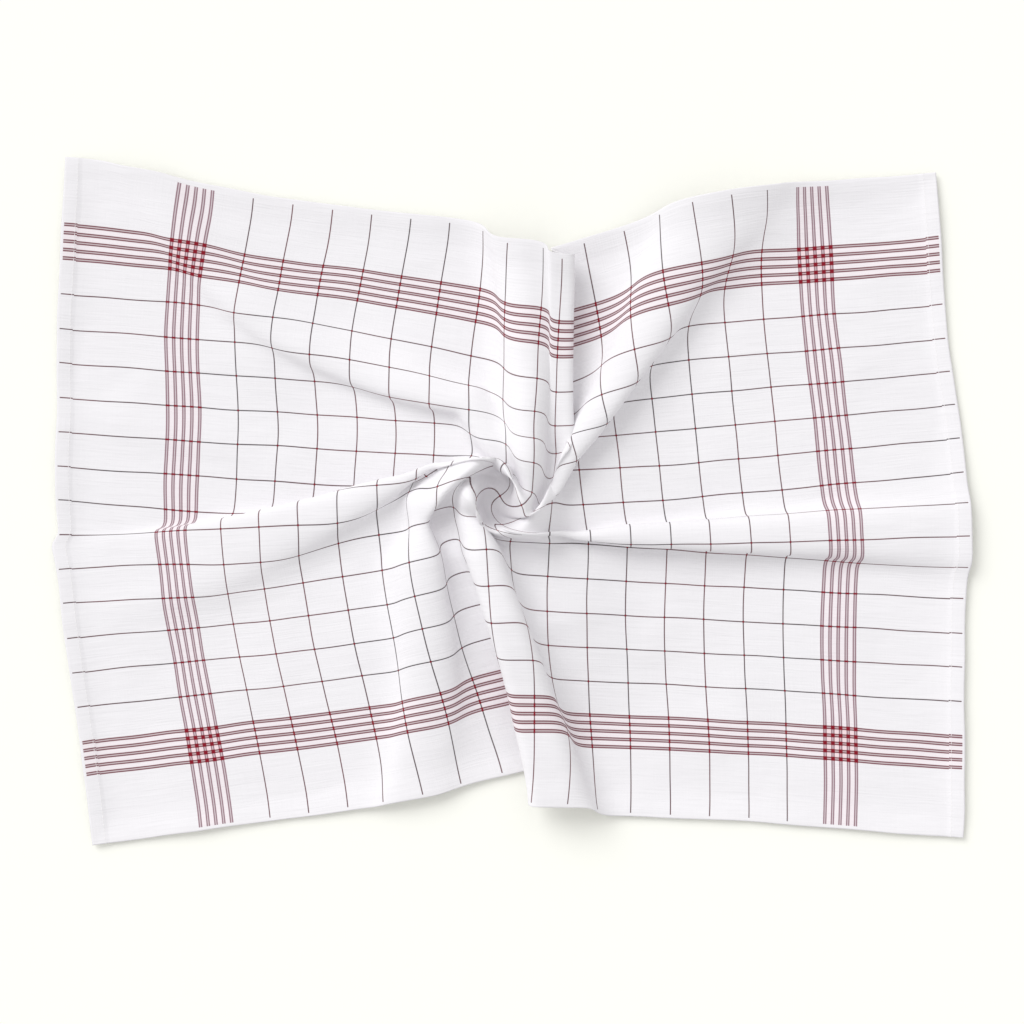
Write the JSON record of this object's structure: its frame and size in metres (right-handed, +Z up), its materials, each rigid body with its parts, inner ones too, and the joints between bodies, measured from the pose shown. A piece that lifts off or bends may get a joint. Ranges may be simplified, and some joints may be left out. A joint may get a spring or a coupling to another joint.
{
  "type": "tea towel",
  "caption": "Woven check tea towel laid out flat, its middle pinched up and twisted into a rosette with soft folds running out to the edges.",
  "frame": {"origin": "middle of the laid towel's box, on the surface that it lies on", "axes": "+X along the towel's length, to the right in the picture; +Y towards the top of the picture; +Z up"},
  "size_m": [0.6556, 0.49, 0.0349],
  "materials": {
    "tea_towel": "matt half linen, white with thin dark red woven check lines"
  },
  "bodies": {
    "root": {"tea_towel": "tea_towel"}
  },
  "joints": []
}
